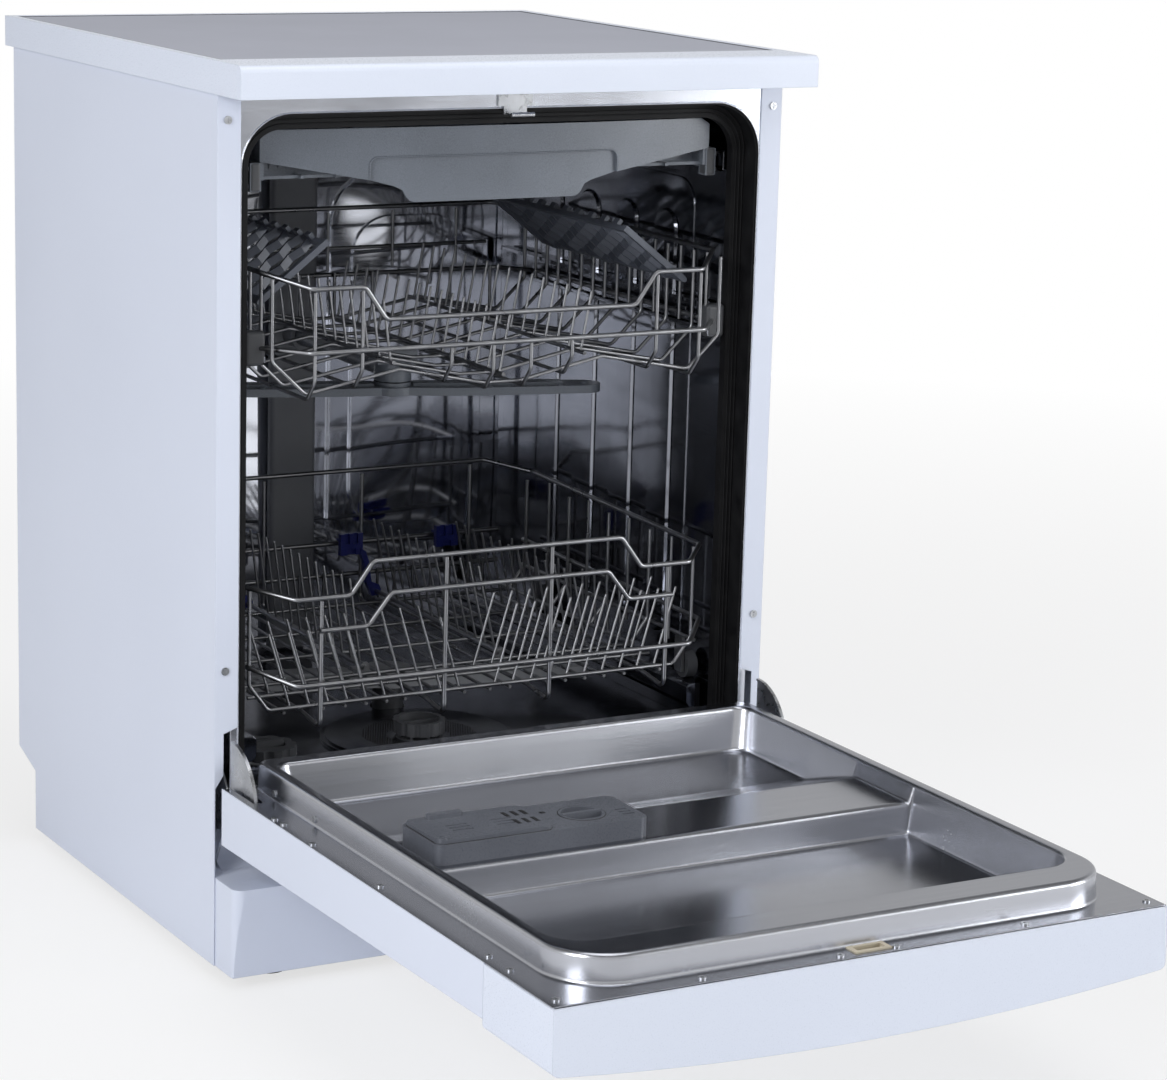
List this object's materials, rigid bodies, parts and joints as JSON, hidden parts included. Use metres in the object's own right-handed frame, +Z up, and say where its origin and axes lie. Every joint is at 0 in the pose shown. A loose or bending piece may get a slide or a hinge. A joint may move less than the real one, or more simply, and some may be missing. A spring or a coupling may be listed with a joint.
{
  "type": "dishwasher",
  "caption": "Free-standing dishwasher with a drop-down door, steel tub, two sliding wire baskets, a cutlery tray, two spray arms, and the pumps and softener in its base.",
  "frame": {"origin": "on the floor, in the middle of the width, in the plane of the shut door's front", "axes": "+X to the right seen from the front, +Y to the back, +Z up"},
  "size_m": [0.598, 1.192, 0.855],
  "materials": {
    "white_paint": "satin white enamel",
    "white_trim": "semi-gloss white",
    "grey_laminate": "fine matt laminate",
    "galvanised_steel": "dull zinc",
    "dark_plastic": "satin",
    "black_plastic": "matt",
    "stainless_bright": "bright rolled",
    "stainless_satin": "satin rolled",
    "black_rubber": "matt",
    "plated_steel": "zinc plate",
    "grey_plastic": "satin",
    "light_grey_plastic": "satin",
    "white_plastic": "satin",
    "circuit_board": "satin",
    "beige_plastic": "satin",
    "silver_plastic": "silver lacquer",
    "basket_wire": "plated wire",
    "blue_plastic": "gloss"
  },
  "bodies": {
    "cabinet": {"worktop_frame": "white_trim", "worktop_board": "grey_laminate", "side_panel_left": "white_paint", "side_panel_right": "white_paint", "rear_panel": "galvanised_steel", "base_tray": "dark_plastic", "plinth": "white_paint", "levelling_feet": "black_plastic", "tub_front_frame": "stainless_bright", "tub_wrapper": "stainless_bright", "tub_back": "stainless_bright", "tub_floor": "stainless_bright", "door_gasket": "black_rubber", "sill_seal": "black_rubber", "door_striker": "plated_steel", "flange_screws": "plated_steel", "feed_duct": "grey_plastic", "upper_rails": "stainless_bright", "tray_rails": "stainless_bright", "sump": "dark_plastic", "circulation_pump": "dark_plastic", "drain_pump": "white_plastic", "heater": "plated_steel", "water_softener": "white_plastic", "air_break": "white_plastic", "water_inlet": "white_plastic", "hinge_brackets": "plated_steel", "balance_springs": "plated_steel", "filter_plate": "stainless_satin"},
    "door": {"door_outer_panel": "white_paint", "door_liner": "stainless_satin", "control_panel": "white_trim", "control_board": "circuit_board", "latch_housing": "beige_plastic", "door_screws": "plated_steel", "hinge_arms": "plated_steel", "dispenser_body": "silver_plastic"},
    "detergent_flap": {"detergent_lid": "silver_plastic"},
    "rinse_cap": {"rinse_aid_cap": "silver_plastic"},
    "power_key": {"power_button": "silver_plastic"},
    "program_key": {"program_button": "silver_plastic"},
    "start_key": {"start_button": "silver_plastic"},
    "filter": {"filter_cylinder": "dark_plastic"},
    "salt_lid": {"salt_cap": "dark_plastic"},
    "lower_basket": {"lower_basket_frame": "basket_wire", "lower_tines_fixed": "basket_wire", "tine_clips": "blue_plastic"},
    "left_tines": {"folding_tines_left": "basket_wire"},
    "right_tines": {"folding_tines_right": "basket_wire"},
    "front_wheels": {"wheels_front": "dark_plastic"},
    "rear_wheels": {"wheels_rear": "dark_plastic"},
    "lower_arm": {"lower_spray_arm": "light_grey_plastic"},
    "upper_basket": {"upper_basket_frame": "basket_wire", "upper_basket_tines": "basket_wire", "upper_runners": "stainless_bright", "upper_feed_pipe": "grey_plastic"},
    "upper_arm": {"upper_spray_arm": "grey_plastic"},
    "left_shelf": {"cup_shelf_left": "dark_plastic"},
    "right_shelf": {"cup_shelf_right": "dark_plastic"},
    "tray": {"cutlery_tray": "grey_plastic"}
  },
  "joints": [
    {"name": "door_hinge", "type": "hinge", "parent": "cabinet", "child": "door", "pos_m": [0, 0.0425, 0.178], "axis": [1, 0, 0], "range_deg": [-90, 0]},
    {"name": "detergent_lid_swing", "type": "hinge", "parent": "door", "child": "detergent_flap", "pos_m": [-0.223, -0.262, 0.217], "axis": [0, 0, -1], "range_deg": [0, 85]},
    {"name": "rinse_cap_twist", "type": "hinge", "parent": "door", "child": "rinse_cap", "pos_m": [-0.072, -0.2365, 0.212], "axis": [0, 0, 1], "range_deg": [0, 90]},
    {"name": "power_button_press", "type": "slide", "parent": "door", "child": "power_key", "axis": [0, 0, 1], "range_m": [0, 0.0013], "stiffness_N_per_m": 400},
    {"name": "program_button_press", "type": "slide", "parent": "door", "child": "program_key", "axis": [0, 0, 1], "range_m": [0, 0.0013], "stiffness_N_per_m": 400},
    {"name": "start_button_press", "type": "slide", "parent": "door", "child": "start_key", "axis": [0, 0, 1], "range_m": [0, 0.0013], "stiffness_N_per_m": 400},
    {"name": "filter_twist", "type": "hinge", "parent": "cabinet", "child": "filter", "pos_m": [-0.024, 0.18, 0.15], "axis": [0, 0, 1], "range_deg": [0, 90]},
    {"name": "salt_cap_twist", "type": "hinge", "parent": "cabinet", "child": "salt_lid", "pos_m": [-0.196, 0.166, 0.17], "axis": [0, 0, 1], "range_deg": [0, 90]},
    {"name": "lower_basket_slide", "type": "slide", "parent": "cabinet", "child": "lower_basket", "axis": [0, -1, 0], "range_m": [0, 0.42]},
    {"name": "left_tines_fold", "type": "hinge", "parent": "lower_basket", "child": "left_tines", "pos_m": [-0.08, 0.32, 0.247], "axis": [0, -1, 0], "range_deg": [0, 62]},
    {"name": "right_tines_fold", "type": "hinge", "parent": "lower_basket", "child": "right_tines", "pos_m": [0.07, 0.32, 0.247], "axis": [0, -1, 0], "range_deg": [0, 62]},
    {"name": "front_wheels_roll", "type": "hinge", "parent": "lower_basket", "child": "front_wheels", "pos_m": [0, 0.124, 0.2328], "axis": [1, 0, 0], "range_deg": [0, 1720]},
    {"name": "rear_wheels_roll", "type": "hinge", "parent": "lower_basket", "child": "rear_wheels", "pos_m": [0, 0.43, 0.2328], "axis": [1, 0, 0], "range_deg": [0, 1720]},
    {"name": "lower_arm_spin", "type": "hinge", "parent": "cabinet", "child": "lower_arm", "pos_m": [0, 0.3, 0.203], "axis": [0, 0, 1], "continuous": true},
    {"name": "upper_basket_slide", "type": "slide", "parent": "cabinet", "child": "upper_basket", "axis": [0, -1, 0], "range_m": [0, 0.4]},
    {"name": "upper_arm_spin", "type": "hinge", "parent": "upper_basket", "child": "upper_arm", "pos_m": [0, 0.3, 0.503], "axis": [0, 0, 1], "continuous": true},
    {"name": "left_shelf_fold", "type": "hinge", "parent": "upper_basket", "child": "left_shelf", "pos_m": [-0.228, 0.26, 0.627], "axis": [0, -1, 0], "range_deg": [0, 40]},
    {"name": "right_shelf_fold", "type": "hinge", "parent": "upper_basket", "child": "right_shelf", "pos_m": [0.228, 0.26, 0.627], "axis": [0, 1, 0], "range_deg": [0, 40]},
    {"name": "cutlery_tray_slide", "type": "slide", "parent": "cabinet", "child": "tray", "axis": [0, -1, 0], "range_m": [0, 0.38]}
  ],
  "couplings": [
    {"joint": "front_wheels_roll", "follows": "lower_basket_slide", "rad_per_m": 71.429},
    {"joint": "rear_wheels_roll", "follows": "lower_basket_slide", "rad_per_m": 71.429}
  ]
}
